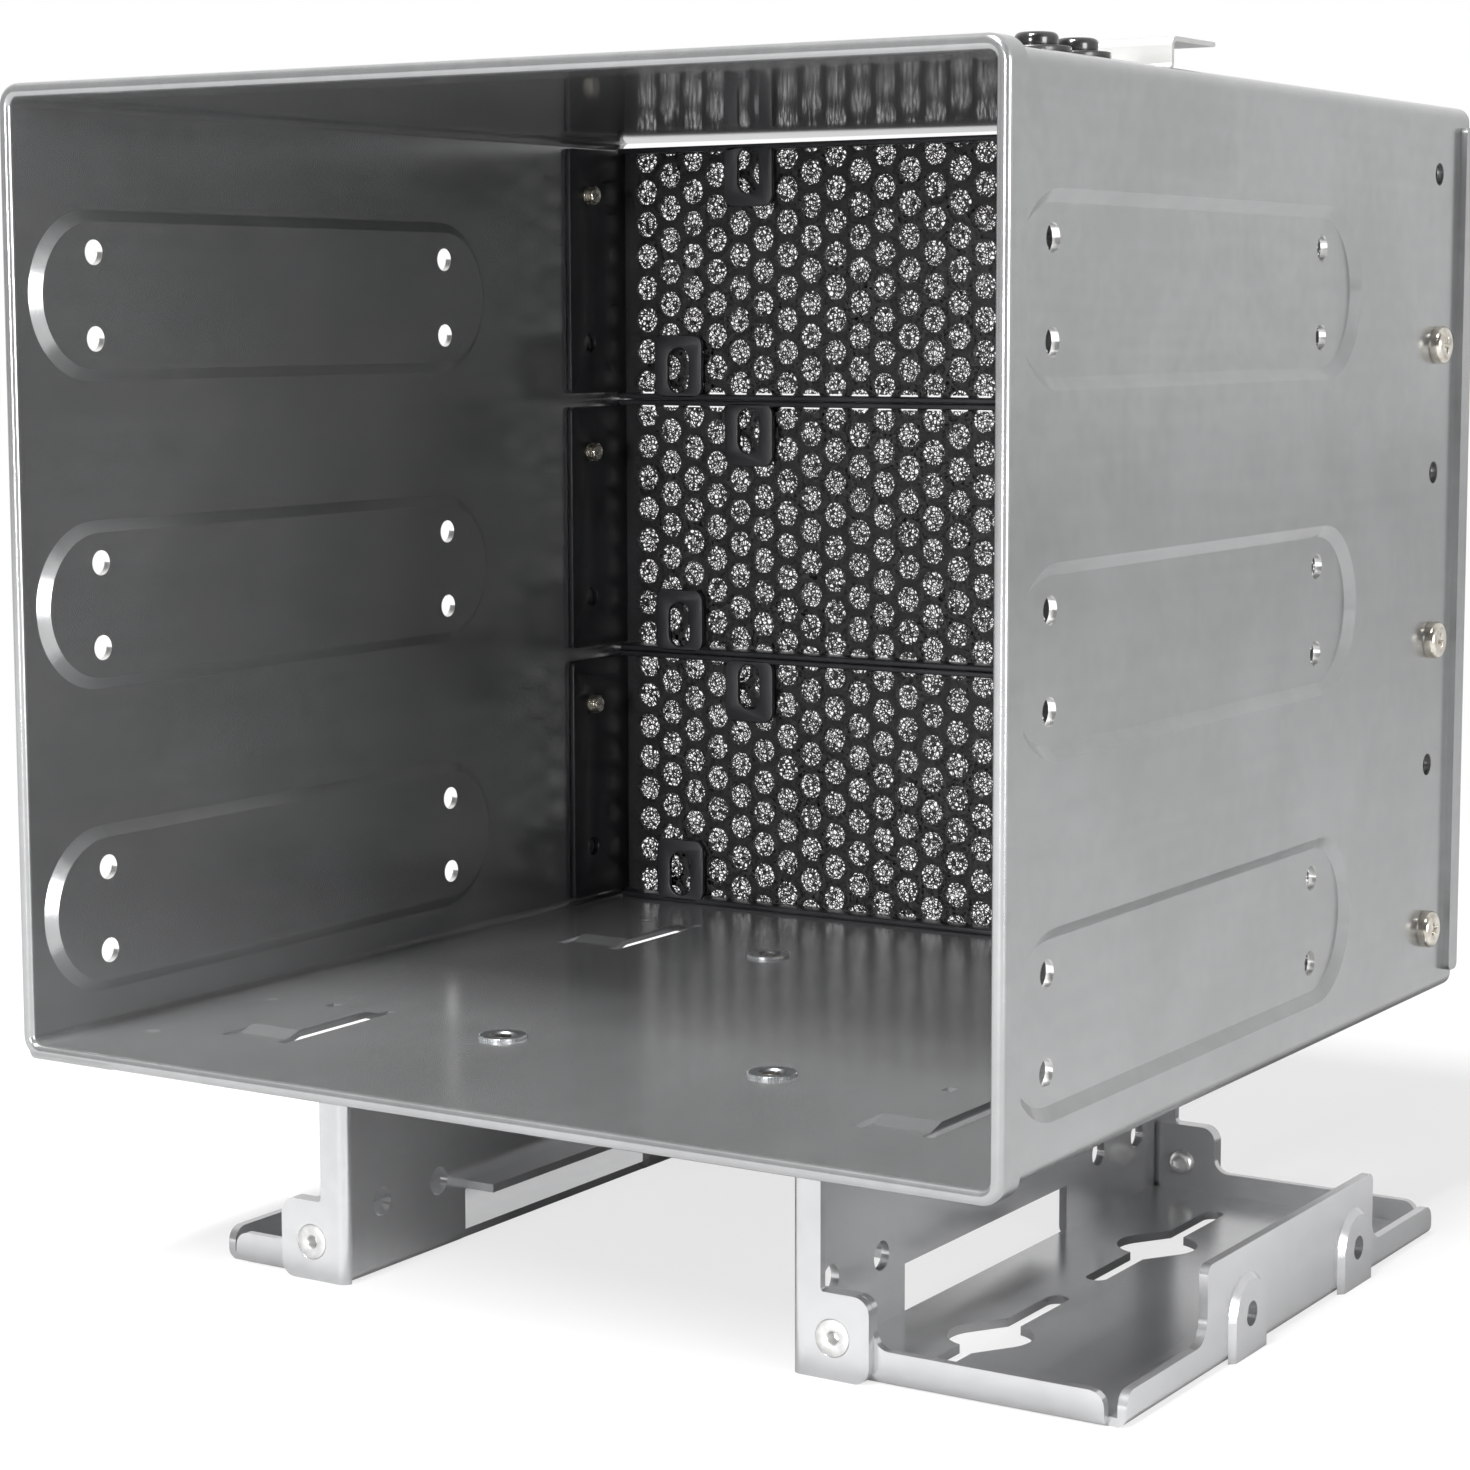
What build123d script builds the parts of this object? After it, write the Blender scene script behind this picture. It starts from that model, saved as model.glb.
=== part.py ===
"""Drive mounting frame: a folded steel cage for three full-width drives on two riveted feet.

The origin lies on the ground between the feet, under the middle of the cage.
X runs across the cage, Y from the open front to the vented rear, Z up. Millimetres.
"""
import os
from math import cos, pi, sin, sqrt

from build123d import *

# Cage sheet and drive bays
sheet = 1.0
bay_count = 3
bay_pitch = 42.75
bay_spare_height = 0.25
cage_width = 148.6
cage_depth = 145.8
corner_radius = 1.2
front_hem = 4.2
rear_hem = 3.4
rear_hem_end_gap = 2.0
hem_edge_radius = 0.85
seam_flange_width = 15.0
seam_weld_diameter = 2.6
seam_weld_depth = 0.3
seam_weld_inset = 9.0
seam_weld_setbacks = (15.2, 40.9, 71.0, 100.7)

# Drive fixing holes in the pressed panels of both walls
drive_hole_span = 79.25
drive_hole_rise = 11.84
drive_hole_height = 11.0
drive_hole_setback = 14.7
drive_hole_diameter = 3.5
panel_depth = 1.1
panel_radius = 11.75
panel_slope = 1.6
panel_edge_inset = 0.2

# Vented bay covers
cover_sheet = 0.8
cover_play = 0.15
cover_gap = 0.3
cover_flange_depth = 17.0
cover_recess = 0.1
cover_corner_relief = 1.0
vent_rows = 4
vent_web = 2.1
vent_side_margin = 6.0
clip_width = 9.4
clip_length = 10.5
clip_band = 2.2
clip_radius = 1.4
clip_low_offset = 60.3
clip_high_offset = 46.4
foam_thickness = 2.9
foam_play = 0.3
foam_side_play = 1.8

# Screws that hold the covers
cover_screw_diameter = 3.0
cover_screw_length = 3.6
cover_screw_head = 5.4
cover_screw_head_height = 1.8
cover_screw_setback = 11.6
cover_screw_low = 9.5
cover_screw_high = 33.9
screw_hole_play = 0.2

# Lanced bridges and press nuts of the floor
bridge_width = 8.4
bridge_length = 20.2
bridge_rise = 0.8
bridge_slope = 2.8
bridge_slot_width = 1.6
bridge_slot_length = 24.8
bridge_centre = 51.0
bridge_span = 81.0
bridge_shift = -1.1
nut_inset = 13.8
nut_spacing_along = 70.0
nut_diameter = 6.7
nut_height = 0.4
nut_shank_diameter = 4.6
nut_hole_play = 0.1

# Feet
foot_sheet = 1.2
foot_height = 32.2
foot_length = 106.0
foot_web_inset = 39.5
foot_top_flange = 22.0
foot_strip_width = 4.4
foot_lobe_width = 11.4
foot_lobe_height = 11.2
foot_lobe_radius = 2.2
foot_low_flange = 4.5
foot_bend_radius = 1.5
right_foot_width = 45.7
left_foot_width = 23.2
foot_lobe_crotch = 0.5
foot_tip_radius = 2.1
right_foot_tip_under = 0.6
left_foot_tip_under = 2.0
foot_corner_gap = 1.2
foot_window_length = 47.6
foot_window_height = 7.6
foot_window_shift = -2.0
foot_window_lip = 4.6
web_hole_diameter = 4.0
web_hole_height = 10.2
web_hole_inset = 8.0
web_hole_pair = 13.0
foot_rivet_inset = 6.1
foot_rivet_height = 5.4
foot_rivet_diameter = 3.2
foot_rivet_head = 5.0
foot_rivet_tail_height = 0.9
foot_rivet_tail_diameter = 3.6
foot_rivet_sink_depth = 0.84
foot_rivet_play = 0.1
foot_screw_diameter = 3.0
foot_screw_head = 5.6
foot_screw_head_height = 1.9

# Keyhole slots of the right foot and its raised outer flange
keyhole_spacing = 50.4
keyhole_inset = 16.0
keyhole_shift = -4.2
keyhole_slot_length = 41.6
keyhole_slot_width = 3.1
keyhole_head_diameter = 11.4
keyhole_throat = 8.0
high_flange_length = 55.0
high_flange_height = 14.4
high_flange_blend = 3.0
outer_hole_spacing = 36.1
outer_hole_shift = 2.6
outer_hole_height = 5.4
outer_hole_diameter = 3.3
outer_boss_width = 11.2
outer_boss_depth = 0.8
outer_boss_top = 10.8

# Spring bracket on the top
top_sheet = 0.6
top_bracket_width = 24.0
top_bracket_inset = 5.3
top_bracket_setback = 19.9
top_bracket_foot = 35.6
top_bracket_height = 4.5
top_bracket_ledge = 12.0
top_bend_radius = 1.0
top_screw_inset = 4.2
top_screw_setback = 6.5
top_screw_spacing = 10.6
top_screw_diameter = 3.0
top_screw_head = 5.3
top_screw_head_height = 1.7
washer_diameter = 8.4
washer_thickness = 0.8

# Derived levels and faces
wall_inner = cage_width / 2
wall_outer = wall_inner + sheet
floor_bottom = foot_height
floor_top = floor_bottom + sheet
cage_height = bay_count * bay_pitch + bay_spare_height
ceiling_bottom = floor_top + cage_height
ceiling_top = ceiling_bottom + sheet
cage_front = -cage_depth / 2
cage_rear = cage_depth / 2
cage_middle = (floor_top + ceiling_bottom) / 2
cover_back = cage_rear - cover_recess
cover_plate_front = cover_back - cover_sheet
clip_front = cover_plate_front - foam_thickness - cover_sheet
cover_half_width = wall_inner - cover_play
cover_height = bay_pitch - cover_gap
cover_screw_y = cage_rear - cover_screw_setback
foot_web = wall_outer - foot_web_inset
foot_front = -foot_length / 2


def bay_floor(bay):
    """Height of the lowest edge of one bay's cover."""
    return floor_top + bay_spare_height / 2 + bay * bay_pitch


def bay_name(bay):
    """Bottom, middle or top, with further middles numbered."""
    if bay == 0:
        return "bottom"
    if bay == bay_count - 1:
        return "top"
    return "middle" if bay == 1 else "middle_%d" % bay


def block(x0, x1, y0, y1, z0, z1):
    """Box between two corners."""
    centre = Pos((x0 + x1) / 2, (y0 + y1) / 2, (z0 + z1) / 2)
    return centre * Box(x1 - x0, y1 - y0, z1 - z0)


def drill_x(radius, x0, x1, y, z):
    """Round cutter along X."""
    return Pos((x0 + x1) / 2, y, z) * Rot(0, 90, 0) * Cylinder(radius, x1 - x0)


def drill_y(radius, x, y0, y1, z):
    """Round cutter along Y."""
    return Pos(x, (y0 + y1) / 2, z) * Rot(90, 0, 0) * Cylinder(radius, y1 - y0)


def drill_z(radius, x, y, z0, z1):
    """Round cutter along Z."""
    return Pos(x, y, (z0 + z1) / 2) * Cylinder(radius, z1 - z0)


def extrude_y(sketch, y0, y1):
    """Sketch drawn with X across and Z up, extruded from y0 to y1."""
    return Pos(0, y1, 0) * extrude(Plane.XZ * sketch, y1 - y0)


def extrude_x(sketch, x0, x1):
    """Sketch drawn with Y across and Z up, extruded from x0 to x1."""
    return Pos(x0, 0, 0) * extrude(Plane.YZ * sketch, x1 - x0)


def cage_tube(grow, y0, y1):
    """Solid rounded tube section, larger than the inside of the cage by grow all round."""
    section = RectangleRounded(cage_width + 2 * grow, cage_height + 2 * grow, corner_radius + grow)
    return extrude_y(Pos(0, cage_middle) * section, y0, y1)


def front_edges(shape):
    """Edges that lie in the open front of the cage."""
    return [e for e in shape.edges() if e.bounding_box().max.Y < cage_front + 0.01]


def panel_loft(side, face, outline_radius, y_mid, z_mid, length):
    """Tapered plateau of a pressed panel, from one face towards the inside."""
    large = SlotOverall(length + 2 * outline_radius, 2 * outline_radius)
    small_radius = outline_radius - panel_slope
    small = SlotOverall(length + 2 * small_radius, 2 * small_radius)
    outer = Pos(side * face, y_mid, z_mid) * (Plane.YZ * large)
    inner = Pos(side * (face - panel_depth), y_mid, z_mid) * (Plane.YZ * small)
    return loft([outer, inner])


def make_bridge(x_mid, y_mid):
    """Strap lifted out of the floor between two slots, and the opening it leaves."""
    half = bridge_length / 2
    crest = half - bridge_slope
    over = Polyline((-half, 0), (-crest, bridge_rise), (crest, bridge_rise), (half, 0))
    under = Polyline((half, 0), (half, -sheet), (crest, bridge_rise - sheet), (-crest, bridge_rise - sheet),
                     (-half, -sheet), (-half, 0))
    section = Pos(y_mid, floor_top) * make_face(over + under)
    strap = extrude_x(section, x_mid - bridge_width / 2, x_mid + bridge_width / 2)
    opening = Pos(x_mid, y_mid, floor_top) * Box(bridge_width, bridge_length, 3 * sheet)
    for side in (-1, 1):
        slot = Box(bridge_slot_width, bridge_slot_length, 3 * sheet)
        opening += Pos(x_mid + side * (bridge_width + bridge_slot_width) / 2, y_mid, floor_top) * slot
    return strap, opening


def make_cage():
    """One folded sheet: floor, walls and ceiling, with hems, panels, bridges and holes."""
    shell = cage_tube(sheet, cage_front + sheet, cage_rear)
    shell -= cage_tube(0, cage_front, cage_rear)
    rim = cage_tube(2 * sheet, cage_front, cage_front + front_hem)
    rim -= cage_tube(0, cage_front, cage_front + front_hem)
    rim = fillet(front_edges(rim), hem_edge_radius)
    seam_edge = -wall_outer + seam_flange_width
    rim -= block(-wall_outer - 2 * sheet, seam_edge, cage_front, cage_rear, floor_bottom - 2 * sheet, floor_bottom)
    shell += rim

    flange_bottom = floor_bottom - sheet
    flange = block(-wall_outer, seam_edge, cage_front + sheet / 2, cage_rear, flange_bottom, floor_bottom)
    flange += block(-wall_outer, -wall_inner + corner_radius, cage_front + front_hem, cage_rear,
                    floor_bottom, floor_bottom + corner_radius + sheet)
    flange -= cage_tube(0, cage_front, cage_rear)
    lower = [e for e in flange.edges().filter_by(Axis.Y)
             if e.center().Z < flange_bottom + 0.01 and e.center().X < -wall_inner]
    flange = fillet(lower, sheet)
    shell += flange

    for side in (-1, 1):
        strip = RectangleRounded(rear_hem, cage_height - 2 * rear_hem_end_gap, rear_hem * 0.3)
        strip = Pos(cage_rear - rear_hem / 2, cage_middle) * strip
        x0, x1 = sorted((side * (wall_outer - sheet / 2), side * (wall_outer + sheet)))
        shell += extrude_x(strip, x0, x1)

    y_mid = cage_front + drive_hole_setback + drive_hole_span / 2
    for side in (-1, 1):
        for bay in range(bay_count):
            z_low = floor_top + drive_hole_height + bay * bay_pitch
            z_mid = z_low + drive_hole_rise / 2
            length = drive_hole_span
            shell += panel_loft(side, wall_inner, panel_radius, y_mid, z_mid, length)
            shell -= panel_loft(side, wall_outer, panel_radius - panel_edge_inset, y_mid, z_mid, length)
            for y in (y_mid - drive_hole_span / 2, y_mid + drive_hole_span / 2):
                for z in (z_low, z_low + drive_hole_rise):
                    x0, x1 = sorted((side * (wall_inner - 2 * panel_depth), side * (wall_outer + sheet)))
                    shell -= drill_x(drive_hole_diameter / 2, x0, x1, y, z)
            rises = (cover_screw_low, cover_screw_high) if side > 0 else (cover_screw_high,)
            for rise in rises:
                x0, x1 = sorted((side * (wall_inner - sheet), side * (wall_outer + sheet)))
                radius = (cover_screw_diameter + screw_hole_play) / 2
                shell -= drill_x(radius, x0, x1, cover_screw_y, bay_floor(bay) + rise)

    for x in (-bridge_centre, bridge_centre):
        for y in (bridge_shift - bridge_span / 2, bridge_shift + bridge_span / 2):
            strap, opening = make_bridge(x, y)
            shell -= opening
            shell += strap
    ball = ((seam_weld_diameter / 2) ** 2 + seam_weld_depth ** 2) / (2 * seam_weld_depth)
    for setback in seam_weld_setbacks:
        dimple = Pos(-wall_outer + seam_weld_inset, cage_front + setback, floor_top - seam_weld_depth + ball)
        shell -= dimple * Sphere(ball)
    for x, y in nut_places():
        radius = (nut_shank_diameter + nut_hole_play) / 2
        shell -= drill_z(radius, x, y, floor_bottom - sheet, floor_top + sheet)
    for x, y in top_screw_places():
        radius = (top_screw_diameter + screw_hole_play) / 2
        shell -= drill_z(radius, x, y, ceiling_bottom - sheet, ceiling_top + sheet)
    return shell


def nut_places():
    """Centres of the four press nuts in the floor."""
    x = foot_web - nut_inset
    return [(i * x, j * nut_spacing_along / 2) for i in (-1, 1) for j in (-1, 1)]


def top_screw_places():
    """Centres of the two screws of the top bracket."""
    x = wall_outer - top_bracket_inset - top_screw_inset
    y = cage_front + top_bracket_setback + top_screw_setback
    return [(x, y), (x, y + top_screw_spacing)]


def hexagon_places():
    """Centres of the vent holes in a cover, about the middle of its plate."""
    pitch = bay_pitch / vent_rows
    step = pitch * sqrt(3) / 2
    half_columns = int((cover_half_width - vent_side_margin) / step - 0.5)
    places = []
    for column in range(-half_columns - 1, half_columns + 1):
        x = (column + 0.5) * step
        shift = 0.5 if column % 2 else 0.0
        rows = vent_rows if shift == 0.5 else vent_rows - 1
        for row in range(rows):
            z = (row - (rows - 1) / 2) * pitch
            places.append((x, z))
    return places


def make_clip(centre, base, direction):
    """Flat loop, bent up or down from a cover's edge, that keeps the foam in."""
    slot_width = clip_width - 2 * clip_band
    slot_length = clip_length - clip_band - cover_sheet
    outer = RectangleRounded(clip_width, clip_length, clip_radius)
    slot = RectangleRounded(slot_width, slot_length, slot_width * 0.32)
    loop = Pos(0, direction * clip_length / 2) * outer
    loop += Pos(0, direction * cover_sheet) * Rectangle(clip_width, 2 * cover_sheet)
    loop -= Pos(0, direction * (cover_sheet + slot_length / 2)) * slot
    loop -= Pos(0, -direction * clip_length / 2) * Rectangle(2 * clip_width, clip_length)
    return extrude_y(Pos(centre, base) * loop, clip_front, clip_front + cover_sheet)


def make_cover(bay):
    """Vented cover with side flanges, narrow top and bottom flanges and foam clips."""
    low = bay_floor(bay)
    high = low + cover_height
    middle = (low + high) / 2
    half = cover_half_width
    outline = Pos(0, middle) * RectangleRounded(2 * half, cover_height, corner_radius)
    plate = extrude_y(outline, cover_plate_front, cover_back)
    radius = (bay_pitch / vent_rows - vent_web) / sqrt(3)
    holes = Sketch() + [Pos(x, middle + z) * RegularPolygon(radius, 6) for x, z in hexagon_places()]
    plate -= extrude_y(holes, cover_plate_front - sheet, cover_back + sheet)

    cover = plate
    for side in (-1, 1):
        flange = RectangleRounded(cover_flange_depth, cover_height - 2 * cover_corner_relief, cover_sheet)
        flange = Pos(cover_back - cover_flange_depth / 2, middle) * flange
        x0, x1 = sorted((side * (half - cover_sheet), side * half))
        flange = extrude_x(flange, x0, x1)
        for rise in (cover_screw_low, cover_screw_high):
            flange -= drill_x((cover_screw_diameter + screw_hole_play) / 2, x0, x1, cover_screw_y, low + rise)
        cover += flange
    ledge = half - cover_sheet - cover_corner_relief
    cover += block(-ledge, ledge, clip_front, cover_back, low, low + cover_sheet)
    cover += block(-ledge, ledge, clip_front, cover_back, high - cover_sheet, high)
    for side in (-1, 1):
        cover += make_clip(side * clip_low_offset, low, 1)
        cover += make_clip(side * clip_high_offset, high, -1)
    return cover


def make_foam(bay):
    """Thin pad of open foam that lies between a cover's plate and its clips."""
    low = bay_floor(bay) + cover_sheet + foam_play
    high = bay_floor(bay) + cover_height - cover_sheet - foam_play
    half = cover_half_width - cover_sheet - foam_side_play
    front = clip_front + cover_sheet + foam_play / 3
    return block(-half, half, front, cover_plate_front, low, high)


def pan_screw(head_diameter, head_height, diameter, length):
    """Pan-head screw on the Z axis, its head seated on the plane z = 0."""
    head = Pos(0, 0, head_height / 2) * Cylinder(head_diameter / 2, head_height)
    head = fillet(head.edges().group_by(Axis.Z)[-1], head_height * 0.55)
    shank = Pos(0, 0, -length / 2) * Cylinder(diameter / 2, length)
    shank = chamfer(shank.edges().group_by(Axis.Z)[0], diameter * 0.15)
    return head + shank


def make_cover_screws(side):
    """Three screws through one wall into the covers' flanges."""
    rise = cover_screw_low if side > 0 else cover_screw_high
    screw = pan_screw(cover_screw_head, cover_screw_head_height, cover_screw_diameter, cover_screw_length)
    turn = Rot(0, 90 * side, 0)
    return [Pos(side * wall_outer, cover_screw_y, bay_floor(bay) + rise) * turn * screw for bay in range(bay_count)]


def make_press_nuts(side):
    """Two knurled nuts pressed into the floor from above."""
    nuts = []
    for x, y in nut_places():
        if x * side > 0:
            nut = drill_z(nut_diameter / 2, x, y, floor_top, floor_top + nut_height)
            nut = chamfer(nut.edges().group_by(Axis.Z)[-1], nut_height * 0.3)
            nut += drill_z(nut_shank_diameter / 2, x, y, floor_bottom, floor_top)
            nut -= drill_z(foot_screw_diameter / 2 + screw_hole_play / 2, x, y, floor_bottom, floor_top + nut_height)
            nuts.append(nut)
    return nuts


def make_foot_screws(side):
    """Two screws from below through the foot's top flange into the press nuts."""
    length = foot_sheet + sheet + nut_height * 0.8
    screw = pan_screw(foot_screw_head, foot_screw_head_height, foot_screw_diameter, length)
    seat = foot_height - foot_sheet
    return [Pos(x, y, seat) * Rot(180, 0, 0) * screw for x, y in nut_places() if x * side > 0]


def foot_end_flange(width, tip_under, end):
    """Web flange with its riveted lobe, and the base flange that lies behind it."""
    lobe_x = foot_web + foot_lobe_width
    top = foot_height - foot_sheet - foot_bend_radius
    strip = Pos(foot_web + foot_strip_width / 2, top / 2) * Rectangle(foot_strip_width, top)
    lobe = Pos(foot_web + foot_lobe_width / 2, foot_lobe_height / 2)
    lobe = lobe * RectangleRounded(foot_lobe_width, foot_lobe_height, foot_lobe_radius)
    lobe += Pos(foot_web + foot_strip_width / 2, foot_lobe_height / 2) * Rectangle(foot_strip_width, foot_lobe_height)
    outer = strip + lobe
    corner = outer.vertices().filter_by(lambda v: abs(v.X - foot_web - foot_strip_width) < 0.01
                                        and abs(v.Y - foot_lobe_height) < 0.01)
    outer = fillet(corner, foot_lobe_crotch)

    inner_start = foot_web + foot_sheet + foot_corner_gap
    inner_end = foot_web + width - foot_sheet - foot_corner_gap
    low_length = inner_end - inner_start
    low = Pos(inner_start + low_length / 2, foot_low_flange / 2) * Rectangle(low_length, foot_low_flange)
    ear_width = lobe_x - inner_start
    ear = Pos(inner_start + ear_width / 2, foot_lobe_height / 2) * Rectangle(ear_width, foot_lobe_height)
    inner = low + ear
    inner_corner = inner.vertices().filter_by(lambda v: abs(v.X - lobe_x) < 0.01
                                              and abs(v.Y - foot_low_flange) < 0.01)
    inner = fillet(inner_corner, foot_lobe_radius)
    tips = inner.vertices().filter_by(lambda v: (abs(v.X - lobe_x) < 0.01 and abs(v.Y - foot_lobe_height) < 0.01)
                                      or (abs(v.X - inner_end) < 0.01 and abs(v.Y - foot_low_flange) < 0.01))
    inner = fillet(tips, foot_tip_radius)
    under = inner.vertices().filter_by(lambda v: abs(v.X - inner_end) < 0.01 and v.Y < 0.01)
    inner = fillet(under, tip_under)

    flanges = extrude_y(outer, foot_front, foot_front + foot_sheet)
    flanges += extrude_y(inner, foot_front + foot_sheet, foot_front + 2 * foot_sheet)
    rivet_x = foot_web + foot_rivet_inset
    flanges -= drill_y(foot_rivet_diameter / 2, rivet_x, foot_front, foot_front + 2 * foot_sheet, foot_rivet_height)
    sink = Pos(rivet_x, foot_front + foot_rivet_sink_depth / 2, foot_rivet_height) * Rot(90, 0, 0)
    flanges -= sink * Cone(foot_rivet_diameter / 2, foot_rivet_head / 2, foot_rivet_sink_depth)
    return flanges if end < 0 else mirror(flanges, Plane.XZ)


def keyhole(x, y):
    """Long narrow slot with a larger hole in its middle, eased on two opposite flanks."""
    slot = Rot(0, 0, 90) * SlotOverall(keyhole_slot_length, keyhole_slot_width)
    shape = slot + Circle(keyhole_head_diameter / 2)
    reach = keyhole_head_diameter / 2
    half_slot = keyhole_slot_width / 2
    for turn in (0, 180):
        flank = Polyline(
            (0, 0),
            (-reach * cos(pi / 6), reach * sin(pi / 6)),
            (-half_slot, keyhole_throat),
            (half_slot, keyhole_throat),
            (0, 0),
        )
        shape += Rot(0, 0, turn) * make_face(flank)
    return Pos(x, y, -foot_sheet) * extrude(shape, 3 * foot_sheet)


def make_raised_flange():
    """Outer flange of the right foot, high in its middle, with two arched bosses."""
    face = foot_web + right_foot_width
    length = foot_length - 2 * foot_sheet - 2 * foot_corner_gap
    low = Pos(0, foot_low_flange / 2) * Rectangle(length, foot_low_flange)
    high = Pos(0, high_flange_height / 2) * Rectangle(high_flange_length, high_flange_height)
    outline = low + high
    crown = outline.vertices().filter_by(lambda v: v.Y > foot_low_flange + 0.01)
    outline = fillet(crown, foot_lobe_radius * 0.6)
    steps = outline.vertices().filter_by(lambda v: abs(abs(v.X) - high_flange_length / 2) < 0.01
                                         and abs(v.Y - foot_low_flange) < 0.01)
    outline = fillet(steps, high_flange_blend)
    tips = outline.vertices().filter_by(lambda v: abs(abs(v.X) - length / 2) < 0.01 and v.Y > 0.01)
    outline = fillet(tips, foot_tip_radius)
    flange = extrude_x(outline, face - foot_sheet, face)
    for y in (outer_hole_shift - outer_hole_spacing / 2, outer_hole_shift + outer_hole_spacing / 2):
        flange += outer_boss(face, y, outer_boss_width)
        flange -= outer_boss(face - foot_sheet, y, outer_boss_width - 1.6 * foot_sheet)
        x1 = face + 2 * outer_boss_depth
        flange -= drill_x(outer_hole_diameter / 2, face - 2 * foot_sheet, x1, y, outer_hole_height)
    return flange


def outer_boss(face, y, width):
    """Arched boss pressed outwards, with sloped sides, from one face of the flange."""
    narrow = width - 2 * outer_boss_depth
    crest = outer_boss_top - outer_boss_width / 2
    layers = []
    for step, size in ((0, width), (outer_boss_depth, narrow)):
        left = y - size / 2
        right = y + size / 2
        arch = Polyline((left, crest), (left, 0), (right, 0), (right, crest))
        arch += ThreePointArc((right, crest), (y, crest + size / 2), (left, crest))
        layers.append(Pos(face + step, 0, 0) * (Plane.YZ * make_face(arch)))
    return loft(layers)


def bend_waste(side):
    """Corner outside a bend at the origin, whose sheet runs up and towards one side."""
    corner = Pos(side * foot_bend_radius / 2, foot_bend_radius / 2) * Rectangle(foot_bend_radius, foot_bend_radius)
    return corner - Pos(side * foot_bend_radius, foot_bend_radius) * Circle(foot_bend_radius)


def make_foot(side):
    """Folded foot: web with top flange, base, end flanges and outer flange."""
    width = right_foot_width if side > 0 else left_foot_width
    tip_under = right_foot_tip_under if side > 0 else left_foot_tip_under
    face = foot_web + width
    rear = -foot_front
    inner_front = foot_front + foot_sheet
    web = block(foot_web, foot_web + foot_sheet, foot_front, rear, 0, foot_height)
    top = block(foot_web - foot_top_flange, foot_web + foot_sheet, inner_front, -inner_front,
                foot_height - foot_sheet, foot_height)
    corner_front = inner_front + foot_corner_gap
    base = block(foot_web, face, corner_front, -corner_front, 0, foot_sheet)
    end_base = block(foot_web + foot_sheet + foot_corner_gap, face - foot_sheet - foot_corner_gap - tip_under,
                     inner_front, -inner_front, 0, foot_sheet)
    foot = web + top + base + end_base
    bends = [e for e in foot.edges().filter_by(Axis.Y)
             if (abs(e.center().X - foot_web) < 0.01 and e.center().Z < 0.01)
             or (abs(e.center().X - foot_web - foot_sheet) < 0.01 and e.center().Z > foot_height - 0.01)]
    foot = fillet(bends, foot_bend_radius)
    for end in (-1, 1):
        foot += foot_end_flange(width, tip_under, end)
    if side > 0:
        foot += make_raised_flange()
        for y in (-keyhole_spacing / 2, keyhole_spacing / 2):
            foot -= keyhole(foot_web + keyhole_inset, y + keyhole_shift)
    else:
        length = foot_length - 2 * foot_sheet - 2 * foot_corner_gap
        outline = Pos(0, foot_low_flange / 2) * Rectangle(length, foot_low_flange)
        tips = outline.vertices().filter_by(lambda v: v.Y > 0.01)
        outline = fillet(tips, foot_tip_radius)
        foot += extrude_x(outline, face - foot_sheet, face)
    for end in (-1, 1):
        foot -= extrude_x(Pos(end * -inner_front, 0) * bend_waste(-end), foot_web + foot_sheet, face)
        upright = Rot(0, 0, 90 + 90 * end) * extrude(bend_waste(-end), foot_height)
        foot -= Pos(foot_web, end * foot_length / 2, 0) * upright
    foot -= extrude_y(Pos(face, 0) * bend_waste(-1), inner_front, -inner_front)

    y0 = foot_window_shift - foot_window_length / 2
    y1 = foot_window_shift + foot_window_length / 2
    foot -= block(foot_web - foot_sheet, foot_web + foot_sheet, y0, y1, -foot_sheet, foot_window_height)
    foot += block(foot_web - foot_window_lip, foot_web + foot_sheet / 2, y0 + foot_sheet / 2, y1 - foot_sheet / 2,
                  foot_window_height, foot_window_height + foot_sheet)
    for end in (-1, 1):
        for offset in (0, web_hole_pair):
            y = end * (foot_length / 2 - web_hole_inset - offset)
            foot -= drill_x(web_hole_diameter / 2, foot_web - foot_sheet, foot_web + 2 * foot_sheet, y,
                            web_hole_height)
    for x, y in nut_places():
        if x > 0:
            radius = foot_screw_diameter / 2 + screw_hole_play / 2
            foot -= drill_z(radius, x, y, foot_height - 2 * foot_sheet, foot_height + foot_sheet)
    return foot if side > 0 else mirror(foot, Plane.YZ)


def make_foot_rivets(side):
    """Two flush rivets that hold a foot's lobes together, with domed tails inside."""
    x = side * (foot_web + foot_rivet_inset)
    rivets = []
    stack = 2 * foot_sheet
    radius = (foot_rivet_diameter - foot_rivet_play) / 2
    head_radius = (foot_rivet_head - foot_rivet_play) / 2
    for end in (-1, 1):
        body = Pos(0, 0, -stack / 2) * Cylinder(radius, stack)
        head = Pos(0, 0, -foot_rivet_sink_depth / 2) * Cone(radius, head_radius, foot_rivet_sink_depth)
        tail = Cylinder(foot_rivet_tail_diameter / 2, foot_rivet_tail_height)
        tail = Pos(0, 0, -stack - foot_rivet_tail_height / 2) * tail
        tail = fillet(tail.edges().group_by(Axis.Z)[0], foot_rivet_tail_height * 0.6)
        rivet = body + head + tail
        rivet -= Pos(0, 0, -foot_rivet_sink_depth / 2) * Cylinder(radius / 2, foot_rivet_sink_depth)
        turn = Rot(90, 0, 0) if end < 0 else Rot(-90, 0, 0)
        rivets.append(Pos(x, end * foot_length / 2, foot_rivet_height) * turn * rivet)
    return rivets


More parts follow.
